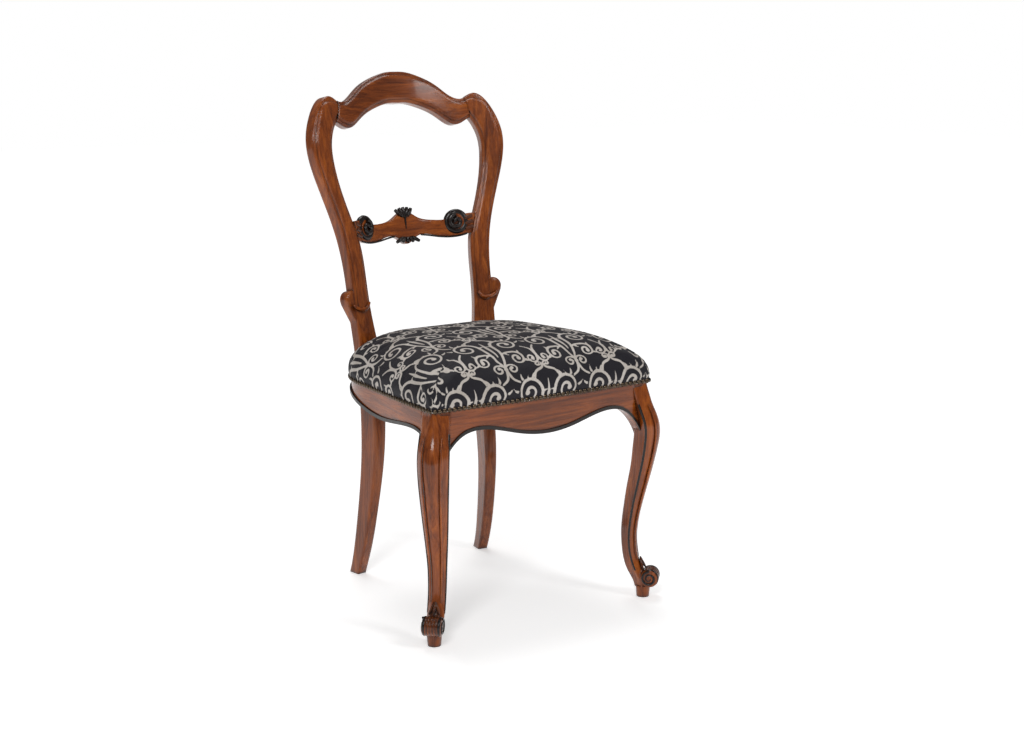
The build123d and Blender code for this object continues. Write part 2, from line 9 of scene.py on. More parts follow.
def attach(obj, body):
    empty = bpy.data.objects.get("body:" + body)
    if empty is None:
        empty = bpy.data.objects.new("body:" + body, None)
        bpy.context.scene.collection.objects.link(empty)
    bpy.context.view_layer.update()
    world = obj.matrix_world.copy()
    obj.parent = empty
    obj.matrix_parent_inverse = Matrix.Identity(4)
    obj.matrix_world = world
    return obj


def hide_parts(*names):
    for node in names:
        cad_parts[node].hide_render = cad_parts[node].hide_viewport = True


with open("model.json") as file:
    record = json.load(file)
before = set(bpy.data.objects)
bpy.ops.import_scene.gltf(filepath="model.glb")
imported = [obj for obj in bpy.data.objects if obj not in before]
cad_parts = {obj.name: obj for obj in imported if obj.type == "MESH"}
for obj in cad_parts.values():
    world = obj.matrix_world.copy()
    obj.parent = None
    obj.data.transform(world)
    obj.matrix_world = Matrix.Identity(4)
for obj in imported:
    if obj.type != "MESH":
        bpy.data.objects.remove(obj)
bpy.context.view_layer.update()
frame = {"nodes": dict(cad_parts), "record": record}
nodes = frame["nodes"]
print("frame loaded", len(nodes), "nodes")

mm = 0.001
shiftY = -35.795  # mm from the sketching frame to the chair's own origin
sides = ((1, "right"), (-1, "left"))


def at(x, y, z):  # sketching frame in mm to scene metres
    return Vector((x * mm, (y + shiftY) * mm, z * mm))


# camera, as the photograph was taken
shot = {"azimuth": -33.8, "elevation": 10.9, "distance": 3021.4, "aim": 450.0,
        "sensor": 36, "lens": 58.155, "shiftX": 0.0328, "shiftY": -0.02295, "clip": 60}


def placeCamera(s):
    az = math.radians(s["azimuth"])
    el = math.radians(s["elevation"])
    away = Vector((math.sin(az) * math.cos(el), -math.cos(az) * math.cos(el), math.sin(el)))
    cam = bpy.data.cameras.new("photoCamera")
    cam.sensor_width = s["sensor"]
    cam.lens = s["lens"]
    cam.shift_x = s["shiftX"]
    cam.shift_y = s["shiftY"]
    cam.clip_end = s["clip"]
    obj = bpy.data.objects.new("photoCamera", cam)
    obj.location = at(0, 0, s["aim"]) + away * s["distance"] * mm
    obj.rotation_euler = (-away).to_track_quat("-Z", "Y").to_euler()
    bpy.context.scene.collection.objects.link(obj)
    bpy.context.scene.camera = obj


placeCamera(shot)
print("camera placed")

# node helpers
spread = (0.3, 0.7)  # where a noise's dark and light tones sit


def newMaterial(name):
    mat = bpy.data.materials.new(name)
    mat.use_nodes = True
    tree = mat.node_tree
    shader = tree.nodes["Principled BSDF"]
    return mat, tree, shader


def add(tree, kind, **values):
    node = tree.nodes.new(kind)
    for key, value in values.items():
        if key in node.inputs:
            node.inputs[key].default_value = value
        else:
            setattr(node, key, value)
    return node


def ramp(tree, source, stops):
    node = tree.nodes.new("ShaderNodeValToRGB")
    node.color_ramp.elements.remove(node.color_ramp.elements[0])
    for i, (where, colour) in enumerate(stops):
        e = node.color_ramp.elements[0] if i == 0 else node.color_ramp.elements.new(where)
        e.position = where
        e.color = (*colour, 1)
    tree.links.new(source, node.inputs["Fac"])
    return node.outputs["Color"]


def twoTones(tree, source, low, high):
    return ramp(tree, source, [(spread[0], low), (spread[1], high)])


def coords(tree, scale, rotation=(0, 0, 0)):
    place = tree.nodes.new("ShaderNodeTexCoord")
    mapping = tree.nodes.new("ShaderNodeMapping")
    mapping.inputs["Scale"].default_value = scale
    mapping.inputs["Rotation"].default_value = rotation
    tree.links.new(place.outputs["Object"], mapping.inputs["Vector"])
    return mapping.outputs["Vector"]


def noise(tree, scale, detail=4.0, rough=0.6, distort=0.0):
    node = add(tree, "ShaderNodeTexNoise", Scale=1.0, Detail=detail, Roughness=rough, Distortion=distort)
    tree.links.new(coords(tree, scale), node.inputs["Vector"])
    return node.outputs["Fac"]


def blendColours(tree, factor, one, other, kind="MIX"):
    node = tree.nodes.new("ShaderNodeMix")
    node.data_type = "RGBA"
    node.blend_type = kind
    for socket, value in ((node.inputs[0], factor), (node.inputs[6], one), (node.inputs[7], other)):
        if isinstance(value, (float, int)):
            socket.default_value = value
        elif isinstance(value, tuple):
            socket.default_value = (*value, 1)
        else:
            tree.links.new(value, socket)
    return node.outputs[2]


def bump(tree, shader, height, strength, distance):
    node = add(tree, "ShaderNodeBump", Strength=strength, Distance=distance)
    tree.links.new(height, node.inputs["Height"])
    tree.links.new(node.outputs["Normal"], shader.inputs["Normal"])
    return node


def mapRange(tree, value, low, high, toLow, toHigh):
    node = tree.nodes.new("ShaderNodeMapRange")
    for name, number in (("From Min", low), ("From Max", high), ("To Min", toLow), ("To Max", toHigh)):
        node.inputs[name].default_value = number
    tree.links.new(value, node.inputs["Value"])
    return node.outputs["Result"]


def polish(shader, s):
    shader.inputs["Specular IOR Level"].default_value = s["gloss"]
    shader.inputs["Coat Weight"].default_value = s["coat"]
    shader.inputs["Coat Roughness"].default_value = s["coatRough"]


# polished walnut, grain along one axis of the piece
walnut = {"dark": (0.090, 0.018, 0.0025), "mid": (0.205, 0.046, 0.005), "light": (0.35, 0.092, 0.010),
          "toneStops": (0.30, 0.50, 0.72), "alongGrain": 5, "acrossGrain": 70, "fineScale": 4.5,
          "figure": (5.0, 0.6, 1.2), "fine": (3.0, 0.7), "cloud": (2.0, 0.5, 0.6),
          "pore": (0.35, 0.30, 0.28), "poreStops": (0.36, 0.50), "poreShare": 0.28,
          "cloudScale": (7, 7, 7), "cloudLow": (0.62, 0.56, 0.52), "cloudHigh": (1.15, 1.1, 1.05),
          "cloudShare": 0.8,
          # the glaze colour darkens the wood by ambient occlusion: dark wax in the mouldings, and painted shade
          # in every corner and recess
          "glazeAndShade": (0.010, 0.003, 0.002), "glazeAndShadeReach": 0.012, "glazeAndShadeRange": (0.25, 0.80), "glazeAndShadeSamples": 8,
          "coat": 0.6, "coatRough": 0.10, "gloss": 0.12, "roughRange": (0.2, 0.8), "rough": (0.20, 0.36),
          # the bead tone is a lighter walnut that paints highlight; the carved tone is the darker stain of the
          # carving
          "bump": (0.06, 0.0004), "softEdge": 0.007, "edgeSamples": 6, "highlightTone": 1.25, "carvedTone": 0.4}


def walnutFinish(name, along, tone=1.0, glazedAndShaded=True):
    w = walnut
    mat, tree, shader = newMaterial(name)
    stretch = tuple(w["alongGrain"] if axis == along else w["acrossGrain"] for axis in "xyz")
    figure = noise(tree, stretch, *w["figure"])
    fine = noise(tree, tuple(w["fineScale"] * s for s in stretch), *w["fine"])
    cloud = noise(tree, w["cloudScale"], *w["cloud"])
    tones = [tuple(tone * k for k in w[shade]) for shade in ("dark", "mid", "light")]
    base = ramp(tree, figure, list(zip(w["toneStops"], tones)))
    pores = ramp(tree, fine, list(zip(w["poreStops"], (w["pore"], (1, 1, 1)))))
    base = blendColours(tree, w["poreShare"], base, pores, "MULTIPLY")
    clouds = twoTones(tree, cloud, w["cloudLow"], w["cloudHigh"])
    base = blendColours(tree, w["cloudShare"], base, clouds, "MULTIPLY")
    if glazedAndShaded:  # dark wax left in the corners of the mouldings, and painted shade: ambient occlusion darkens every corner and recess
        creviceShade = add(tree, "ShaderNodeAmbientOcclusion", Distance=w["glazeAndShadeReach"])
        creviceShade.samples = w["glazeAndShadeSamples"]
        occlusionShade = mapRange(tree, creviceShade.outputs["AO"], *w["glazeAndShadeRange"], 0.0, 1.0)
        base = blendColours(tree, occlusionShade, w["glazeAndShade"], base)
    tree.links.new(base, shader.inputs["Base Color"])
    tree.links.new(mapRange(tree, fine, *w["roughRange"], *w["rough"]), shader.inputs["Roughness"])
    polish(shader, w)
    relief = bump(tree, shader, fine, *w["bump"])
    worn = add(tree, "ShaderNodeBevel", Radius=w["softEdge"])  # edges rubbed round
    worn.samples = w["edgeSamples"]
    tree.links.new(worn.outputs["Normal"], shader.inputs["Coat Normal"])
    tree.links.new(worn.outputs["Normal"], relief.inputs["Normal"])
    return mat


# wood stained black on the carving and the beads
ebony = {"low": (0.003, 0.002, 0.002), "high": (0.014, 0.007, 0.005), "grain": (90, 90, 60),
         "coat": 0.35, "coatRough": 0.08, "gloss": 0.2, "rough": (0.22, 0.42), "bump": (0.08, 0.0004)}


def ebonyFinish(name):
    mat, tree, shader = newMaterial(name)
    grain = noise(tree, ebony["grain"])
    tree.links.new(twoTones(tree, grain, ebony["low"], ebony["high"]), shader.inputs["Base Color"])
    tree.links.new(mapRange(tree, grain, *spread, *ebony["rough"]), shader.inputs["Roughness"])
    polish(shader, ebony)
    bump(tree, shader, grain, *ebony["bump"])
    return mat


# plain finishes inside and under the seat: dark tone, light tone, grain scale, roughness, metal
plain = {"beech": ((0.36, 0.20, 0.09), (0.50, 0.31, 0.16), (6, 90, 90), 0.55, 0.0),
         "steel": ((0.28, 0.28, 0.29), (0.50, 0.50, 0.50), (300, 300, 300), 0.35, 1.0),
         "webbing": ((0.20, 0.14, 0.08), (0.40, 0.31, 0.20), (500, 500, 500), 0.9, 0.0),
         "hessian": ((0.22, 0.16, 0.09), (0.42, 0.33, 0.21), (350, 350, 350), 0.9, 0.0),
         "foam": ((0.55, 0.48, 0.34), (0.72, 0.66, 0.52), (200, 200, 200), 0.95, 0.0),
         "dust_cloth": ((0.010, 0.010, 0.011), (0.028, 0.028, 0.030), (600, 600, 600), 0.95, 0.0)}
plainBump = (0.3, 0.0005)


def plainFinish(slot):
    low, high, scale, rough, metal = plain[slot]
    mat, tree, shader = newMaterial(slot + "Finish")
    grain = noise(tree, scale)
    tree.links.new(twoTones(tree, grain, low, high), shader.inputs["Base Color"])
    shader.inputs["Roughness"].default_value = rough
    shader.inputs["Metallic"].default_value = metal
    bump(tree, shader, grain, *plainBump)
    return mat


# antique bronze nail heads, with painted shade: darker in the hollows between them, by ambient occlusion
bronze = {"low": (0.022, 0.014, 0.009), "high": (0.15, 0.11, 0.075), "hollowShade": (0.01, 0.007, 0.005),
          "hollowShadeReach": 0.006, "hollowShadeRange": (0.3, 0.9), "patina": (260, 260, 260),
          "rough": (0.18, 0.36), "bump": (0.15, 0.0004)}


def bronzeFinish():
    mat, tree, shader = newMaterial("bronzeNails")
    patina = noise(tree, bronze["patina"])
    # painted shade where the nail heads meet each other and the cloth
    betweenShade = add(tree, "ShaderNodeAmbientOcclusion", Distance=bronze["hollowShadeReach"])
    colour = twoTones(tree, patina, bronze["low"], bronze["high"])
    occlusionShade = mapRange(tree, betweenShade.outputs["AO"], *bronze["hollowShadeRange"], 0.0, 1.0)
    tree.links.new(blendColours(tree, occlusionShade, bronze["hollowShade"], colour), shader.inputs["Base Color"])
    shader.inputs["Metallic"].default_value = 1.0
    tree.links.new(mapRange(tree, patina, *spread, *bronze["rough"]), shader.inputs["Roughness"])
    bump(tree, shader, patina, *bronze["bump"])
    return mat


# which way the grain runs in each wooden piece that shows
grainOf = {"rear_leg_right": "z", "rear_leg_left": "z", "front_leg_right": "z", "front_leg_left": "z",
           "crest_rail": "x", "mid_rail": "x", "front_rail": "x", "rear_rail": "x",
           "side_rail_right": "y", "side_rail_left": "y"}
slotOf = {row["node"]: row["material_slot"] for row in frame["record"]["subparts"]}
ebonyBead = ebonyFinish("ebonisedBead")
woods = {axis: walnutFinish("walnut_" + axis, axis) for axis in "xyz"}
# lighter copy of the walnut for the leg panel lines and the knob lips: painted highlight
woods["bead"] = walnutFinish("walnutHighlight", "z", walnut["highlightTone"], False)
woods["carved"] = walnutFinish("walnutCarved", "z", walnut["carvedTone"])


def finishNodes():
    shared = {slot: plainFinish(slot) for slot in plain}
    shared["ebonised_bead"] = ebonyBead
    shared["bronze_nail"] = bronzeFinish()
    for name, obj in nodes.items():
        if name in grainOf:
            finish = woods[grainOf[name]]
        else:
            finish = shared.get(slotOf[name], ebonyBead)
        obj.data.materials.clear()
        obj.data.materials.append(finish)


finishNodes()
print("finishes on the frame")

# back of the chair: the raked plane that its outline is drawn on
back = {"y": 184.0, "knob": 537.0, "rake": math.radians(11.8), "bowRadius": 620.0, "bowDepth": 13.0,
        "fieldRise": 4.0}


def onBack(x, z, depth):  # point at a height on the back, depth mm behind its flat front
    up = (z - back["knob"]) / math.cos(back["rake"])
    y = back["y"] + up * math.sin(back["rake"]) + depth * math.cos(back["rake"])
    return at(x, y, back["knob"] + up * math.cos(back["rake"]) - depth * math.sin(back["rake"]))


def bowFront(x):
    return back["bowDepth"] - x * x / (2 * back["bowRadius"])


# beads and relief strips, all as curves with a round section
tube = {"roundness": 3, "smooth": 6, "order": 3}
coil = {"steps": 16, "inward": 0.86, "riseStart": 0.4, "riseMore": 0.9}


def narrowing(share, start=1.0):
    return lambda t: start - share * t


def swelling(low, rise, begin=0.0, span=1.0):
    return lambda t: low + rise * math.sin(math.pi * (begin + span * t))


def bead(name, points, radius, finish, taper=None, cyclic=False):
    data = bpy.data.curves.new(name, "CURVE")
    data.dimensions = "3D"
    data.bevel_depth = 1.0
    data.bevel_resolution = tube["roundness"]
    data.resolution_u = tube["smooth"]
    data.use_fill_caps = True
    line = data.splines.new("NURBS")
    line.points.add(len(points) - 1)
    for i, p in enumerate(points):
        t = i / (len(points) - 1)
        line.points[i].co = (*p, 1)
        line.points[i].radius = radius * mm * (taper(t) if taper else 1.0)
    line.order_u = tube["order"]
    line.use_endpoint_u = not cyclic
    line.use_cyclic_u = cyclic
    data.materials.append(finish)
    obj = bpy.data.objects.new(name, data)
    bpy.context.scene.collection.objects.link(obj)
    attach(obj, "root")


def blackBead(name, points, radius, taper=None, cyclic=False):
    bead(name, points, radius, ebonyBead, taper, cyclic)


def woodBead(name, points, radius, wood, taper):
    bead(name, points, radius, woods[wood], taper)


def spiral(centre, across, upward, outward, radius, turns, lift):
    points = []
    steps = int(coil["steps"] * turns)
    for i in range(steps + 1):
        t = i / steps
        r = radius * (1 - coil["inward"] * t)
        a = 2 * math.pi * turns * t + math.pi / 2
        rise = outward * (lift * mm * (coil["riseStart"] + coil["riseMore"] * t))
        points.append(centre + across * (r * mm * math.cos(a)) + upward * (r * mm * math.sin(a)) + rise)
    return points


# front legs: rows of height, outer and inner reach along the diagonal, half width across it
leg = {"footX": 228.0, "footY": -206.0,
       "sections": [(398, 3.3, -47.6, 25.4), (384, 8.0, -44.0, 25.5), (366, 14.5, -37.5, 25.5),
                    (343, 25.5, -28.5, 27.0), (319, 31.0, -23.0, 27.5), (285, 27.5, -24.5, 26.5),
                    (250, 19.5, -27.5, 24.5), (213, 10.0, -33.5, 22.5), (168, -1.5, -39.5, 19.5),
                    (130, -8.5, -43.0, 17.0), (98, -9.0, -42.0, 16.2), (72, -3.5, -38.5, 16.0),
                    (52, 6.0, -32.0, 16.0)],
       "beadFrom": 2, "bead": 2.6, "beadBack": 0.5, "beadSink": 1.6, "beadTaper": narrowing(0.35),
       "panel": 0.60, "panelBack": 0.36, "panelHighlightBead": 1.7, "panelTaper": swelling(0.4, 0.8, 0.12, 0.8)}
toe = {"radius": 16.5, "height": 37.5, "reach": 12.5, "width": 33.0,
       "scroll": 2.3, "scrollSink": 2.2, "scrollTurns": 1.8, "scrollLift": 0.3, "scrollTaper": narrowing(0.4),
       "ribs": (-13.2, -8.0, -2.7, 2.7, 8.0, 13.2), "rib": 3.0, "ribSink": 1.6, "ribTaper": swelling(0.7, 0.35),
       "ribFrom": 150, "ribStep": 27, "ribPoints": 9,
       "leafTip": [(74, -3.5), (67, -1.0), (60, 3.0), (54, 7.0)], "leaf": 2.5, "leafSink": 1.6,
       "leafStart": 1.5, "leafOpen": 2.6, "leafFall": 0.45, "leafTaper": swelling(0.5, 0.6)}


def legPoint(m, r, t, z):  # r along the outward diagonal, t across it, for the right (1) or left (-1) leg
    k = math.sqrt(0.5)
    return at(m * (leg["footX"] + k * (r + t)), leg["footY"] + k * (t - r), z)


def dressLeg(m, side):
    for edge, face in ((1, "side"), (-1, "front")):
        rows = leg["sections"][leg["beadFrom"]:]
        points = [legPoint(m, (o + i) / 2 - leg["beadBack"], edge * (h - leg["beadSink"]), z)
                  for z, o, i, h in rows]
        blackBead("leg_bead_%s_%s" % (side, face), points, leg["bead"], leg["beadTaper"])
        # lighter walnut lines on the leg's front panel: painted highlight along its edges
        lines = [legPoint(m, o - leg["panelBack"] * (o - i) / 2, edge * h * leg["panel"], z)
                 for z, o, i, h in rows[:-1]]
        woodBead("leg_panel_highlight_%s_%s" % (side, face), lines, leg["panelHighlightBead"], "bead", leg["panelTaper"])


def dressToe(m, side):
    centre = legPoint(m, toe["reach"], 0, toe["height"])
    outward = (legPoint(m, 1, 0, 0) - legPoint(m, 0, 0, 0)).normalized()
    across = (legPoint(m, 0, 1, 0) - legPoint(m, 0, 0, 0)).normalized()
    for edge, end in ((1, "outer"), (-1, "inner")):
        face = centre + across * (edge * (toe["width"] / 2) * mm)
        turn = spiral(face, outward, Vector((0, 0, 1)), across * edge, toe["radius"] - toe["scrollSink"],
                      toe["scrollTurns"], toe["scrollLift"])
        blackBead("toe_scroll_%s_%s" % (side, end), turn, toe["scroll"], toe["scrollTaper"])
    r = toe["radius"] - toe["ribSink"]
    for k, t in enumerate(toe["ribs"]):  # ribs carved round the drum of the toe, black at its ends
        arc = []
        for j in range(toe["ribPoints"]):
            a = math.radians(toe["ribFrom"] - toe["ribStep"] * j)
            arc.append(legPoint(m, toe["reach"] + r * math.cos(a), t, toe["height"] + r * math.sin(a)))
        name = "toe_rib_%s_%d" % (side, k)
        if k in (0, len(toe["ribs"]) - 1):
            blackBead(name, arc, toe["rib"], toe["ribTaper"])
        else:
            woodBead(name, arc, toe["rib"], "carved", toe["ribTaper"])
    for k in (-1, 0, 1):
        rib = []
        for i, (z, out) in enumerate(toe["leafTip"]):
            aside = k * (toe["leafStart"] + toe["leafOpen"] * i)
            rib.append(legPoint(m, out - toe["leafSink"] - abs(aside) * toe["leafFall"], aside, z))
        woodBead("toe_leaf_%s_%d" % (side, k + 1), rib, toe["leaf"], "carved", toe["leafTaper"])


for m, side in sides:
    dressLeg(m, side)
    dressToe(m, side)
print("front legs dressed")

# carving on the lower back rail, and the lip under each knob; a lobe is x, length, lean
rail = {"radius": 240.0, "depth": 41.0,
        "topLeaf": [(-18, 12, -1.2), (-11, 17, -0.5), (-3, 19, -0.1), (5, 18, 0.3), (12, 14, 0.9)],
        "topZ": 689, "topBead": 3.6,
        "lowLeaf": [(-22, 8, -1.2), (-11, 9, -0.6), (0, 10, 0.0), (11, 9, 0.6), (22, 8, 1.2)],
        "lowZ": 641, "lowBead": 3.4,
        "lobeSteps": (0.0, 0.35, 0.7, 1.0), "lobeRoot": 0.45, "lobeLean": 3, "lobeBelow": 0.35,
        "lobeProud": 2.2, "lobeCurl": 2.0, "lobeTaper": swelling(0.55, 0.65, 0.1, 0.75),
        "drop": (684, 676, 668, 660), "dropBead": 2.4, "dropProud": 0.3, "dropTaper": narrowing(0.7),
        "endZ": (650, 660, 670), "endX": (118, 122, 126, 131), "endSlope": 0.3, "endSink": 3.0,
        "endBead": 6.0, "endTaper": narrowing(0.15, 0.9),
        "edge": ((118, 641), (104, 637), (74, 638.5), (40, 646), (30, 647)), "edgeBead": 1.8, "edgeProud": 0.4}
volute = {"x": 100.0, "z": 665.5, "radius": 18.5, "proud": 3.0, "inside": 3.6, "turns": 1.3, "lift": 1.4,
          "bead": 5.4, "taper": narrowing(0.42), "tangentZ": 665, "tangentStep": 5,
          "rim": 6.5, "rimPoints": 24, "rimSink": 6.0}
lip = {"line": [(122.5, 529), (126, 522), (132, 517.5), (144, 517), (154, 520), (161, 526)],
       "turn": math.radians(13.7), "hinge": 147.0, "sink": 2.6, "bead": 3.2, "taper": swelling(0.75, 0.3)}


def railFront(x):
    r = rail["radius"]
    return rail["depth"] - r + math.sqrt(r * r - x * x)


def stileFront(x):  # the stile is a flat board turned to the bow at the crest joint
    return bowFront(lip["hinge"]) + (lip["hinge"] - abs(x)) * math.tan(lip["turn"])


def carveLeaf(name, lobes, z, upward, radius):  # a fan of short lobes over the rail's edge
    for i, (x, length, lean) in enumerate(lobes):
        line = []
        for t in rail["lobeSteps"]:
            px = x * (rail["lobeRoot"] + (1 - rail["lobeRoot"]) * t) + rail["lobeLean"] * lean * t
            depth = railFront(px) - rail["lobeProud"] + rail["lobeCurl"] * t
            line.append(onBack(px, z + upward * length * (t - rail["lobeBelow"]), depth))
        blackBead("%s_%d" % (name, i), line, radius, rail["lobeTaper"])


def dressVolute(m, side, upward):
    x = m * volute["x"]
    after, before = x + volute["tangentStep"], x - volute["tangentStep"]
    across = (onBack(after, volute["tangentZ"], railFront(after))
              - onBack(before, volute["tangentZ"], railFront(before))).normalized()
    outward = across.cross(upward).normalized()
    centre = onBack(x, volute["z"], railFront(x) - volute["proud"])
    turn = spiral(centre, across * m, upward, outward, volute["radius"] - volute["inside"],
                  volute["turns"], volute["lift"])
    blackBead("rail_volute_" + side, turn, volute["bead"], volute["taper"])
    for k, z in enumerate(rail["endZ"]):  # short leaves that fill the end of the rail beside the stile
        end = [onBack(m * px, z + rail["endSlope"] * (px - rail["endX"][0]), railFront(px) + rail["endSink"])
               for px in rail["endX"]]
        woodBead("rail_end_%s_%d" % (side, k), end, rail["endBead"], "carved", rail["endTaper"])
    ring = []
    for k in range(volute["rimPoints"]):
        a = 2 * math.pi * k / volute["rimPoints"]
        spoke = (across * math.cos(a) + upward * math.sin(a)) * (volute["radius"] * mm)
        ring.append(centre + spoke - outward * (volute["rimSink"] * mm))
    blackBead("rail_scroll_rim_" + side, ring, volute["rim"], None, True)


def dressBack():
    upward = (onBack(0, 600, 0) - onBack(0, 500, 0)).normalized()  # along the rake
    carveLeaf("rail_top_leaf", rail["topLeaf"], rail["topZ"], 1, rail["topBead"])
    carveLeaf("rail_low_leaf", rail["lowLeaf"], rail["lowZ"], -1, rail["lowBead"])
    drop = [onBack(0, z, railFront(0) - rail["dropProud"]) for z in rail["drop"]]
    blackBead("rail_drop", drop, rail["dropBead"], rail["dropTaper"])
    for m, side in sides:
        dressVolute(m, side, upward)
        edge = [onBack(m * px, z, railFront(px) - rail["edgeProud"]) for px, z in rail["edge"]]
        blackBead("rail_edge_" + side, edge, rail["edgeBead"])
        under = [onBack(m * px, z, stileFront(px) - back["fieldRise"] + lip["sink"]) for px, z in lip["line"]]
        # the lip is in the lighter walnut: painted highlight along it
        woodBead("knob_lip_" + side, under, lip["bead"], "bead", lip["taper"])


dressBack()
print("back carving dressed")

# seat cushion; a level is its height, how far it stands out of the frame's outline, its corner radius
seat = {"frameX": 230.33, "frameY": -208.33, "rearX": 145.0, "rearY": 176.0, "bow": 6.0, "bulge": 44.0,
        "sideShape": [(0.31, 0.47), (0.56, 0.76), (0.77, 0.99), (0.88, 0.84)],
        "levels": [(402.5, 2.8, 6), (411.5, 2.8, 6), (420, 3.8, 9), (429, 3.8, 14), (440, 2.0, 22),
                   (450, -3, 32), (460, -12, 44), (469, -28, 60), (477, -55, 76), (483, -88, 72),
                   (486, -120, 45)],
        "frontSteps": 8, "cornerSteps": 6, "sideSteps": 6, "rearSteps": 6, "round": 260,
        "voxel": 5.0, "pressure": 3.0, "stiffness": 25, "frames": 16, "cap": 5.0, "freeAbove": 414.0,
        "ease": 1.5}


def catmull(points, steps):
    out = []
    pts = [points[0]] + list(points) + [points[-1]]
    for i in range(1, len(pts) - 2):
        p0, p1, p2, p3 = pts[i - 1], pts[i], pts[i + 1], pts[i + 2]
        for k in range(steps):
            t = k / steps
            out.append(0.5 * (2 * p1 + (p2 - p0) * t + (2 * p0 - 5 * p1 + 4 * p2 - p3) * t * t
                              + (3 * p1 - p0 - 3 * p2 + p3) * t ** 3))
    out.append(pts[-2])
    return out


def planHalf(grow, corner):  # right half of the seat outline, from mid front to mid rear
    x = seat["frameX"] + grow
    y = seat["frameY"] - grow
    n = seat["frontSteps"]
    front = [Vector(((x - corner) * i / n, y - seat["bow"] * math.cos(math.pi / 2 * i / n) ** 2))
             for i in range(n + 1)]
    n = seat["cornerSteps"]
    arc = [Vector((x - corner + corner * math.sin(a), y + corner - corner * math.cos(a)))
           for a in [math.pi / 2 * k / n for k in range(1, n + 1)]]
    start = arc[-1]
    end = Vector((seat["rearX"] + grow, seat["rearY"] + grow))
    flank = [start]
    for t, swell in seat["sideShape"]:
        flank.append(start + (end - start) * t + Vector((seat["bulge"] * swell * x / seat["frameX"], 0)))
    flank.append(end)
    n = seat["rearSteps"]
    rear = [Vector((end.x * (1 - k / n), end.y)) for k in range(1, n + 1)]
    return front + arc + catmull(flank, seat["sideSteps"])[1:] + rear


def evenly(points, count):  # the same number of points at equal steps along an outline
    lengths = [0.0]
    for a, b in zip(points, points[1:]):
        lengths.append(lengths[-1] + (b - a).length)
    out = []
    j = 0
    for i in range(count):
        want = lengths[-1] * i / (count - 1)
        while j < len(points) - 2 and lengths[j + 1] < want:
            j += 1
        span = max(lengths[j + 1] - lengths[j], 1e-9)
        out.append(points[j].lerp(points[j + 1], (want - lengths[j]) / span))
    return out


def ringAt(grow, corner):
    half = evenly(planHalf(grow, corner), seat["round"] // 2 + 1)
    return half + [Vector((-p.x, p.y)) for p in half[1:-1]][::-1]


def cushionForm():
    mesh = bpy.data.meshes.new("seat_cushion")
    bm = bmesh.new()
    rings = []
    for z, grow, corner in seat["levels"]:
        rings.append([bm.verts.new(at(p.x, p.y, z)) for p in ringAt(grow, corner)])
    for low, high in zip(rings, rings[1:]):
        n = len(low)
        for i in range(n):
            bm.faces.new((low[i], low[(i + 1) % n], high[(i + 1) % n], high[i]))
    bm.faces.new(rings[-1])
    bm.faces.new(rings[0][::-1])
    bm.normal_update()
    bm.to_mesh(mesh)
    bm.free()
    obj = bpy.data.objects.new("seat_cushion", mesh)
    bpy.context.scene.collection.objects.link(obj)
    return obj


def bake(obj):
    graph = bpy.context.evaluated_depsgraph_get()
    mesh = bpy.data.meshes.new_from_object(obj.evaluated_get(graph))
    obj.modifiers.clear()
    obj.data = mesh


def cutRoundStiles(obj):
    for name in ("rear_leg_right", "rear_leg_left"):
        cut = obj.modifiers.new("notch", "BOOLEAN")
        cut.operation = "DIFFERENCE"
        cut.solver = "FAST"
        cut.object = nodes[name]
    bake(obj)


def puff(obj):  # voxel mesh, then the cloth swells a little under pressure, held at the nails
    remesh = obj.modifiers.new("even", "REMESH")
    remesh.mode = "VOXEL"
    remesh.voxel_size = seat["voxel"] * mm
    bake(obj)
    start = [v.co.copy() for v in obj.data.vertices]
    held = obj.vertex_groups.new(name="held")
    held.add([v.index for v in obj.data.vertices if v.co.z < seat["freeAbove"] * mm], 1.0, "REPLACE")
    cloth = obj.modifiers.new("swell", "CLOTH")
    cloth.settings.use_pressure = True
    cloth.settings.uniform_pressure_force = seat["pressure"]
    cloth.settings.effector_weights.gravity = 0
    cloth.settings.vertex_group_mass = "held"
    cloth.settings.tension_stiffness = seat["stiffness"]
    for f in range(1, seat["frames"] + 1):
        bpy.context.scene.frame_set(f)
    bake(obj)
    bpy.context.scene.frame_set(1)
    cap = seat["cap"] * mm
    swell = max((v.co - p).length for v, p in zip(obj.data.vertices, start))
    print("cloth swells by up to", round(swell / mm, 1), "mm, held to", seat["cap"])
    for v, p in zip(obj.data.vertices, start):
        move = v.co - p
        if move.length > cap:
            v.co = p + move * (cap / move.length)
    for v in obj.data.vertices:  # the voxel mesh lies a little inside the form it was made from
        if v.co.z > seat["freeAbove"] * mm:
            v.co += v.normal * (seat["ease"] * mm)
    fine = obj.modifiers.new("fine", "SUBSURF")
    fine.levels = 1
    fine.render_levels = 1
    bake(obj)


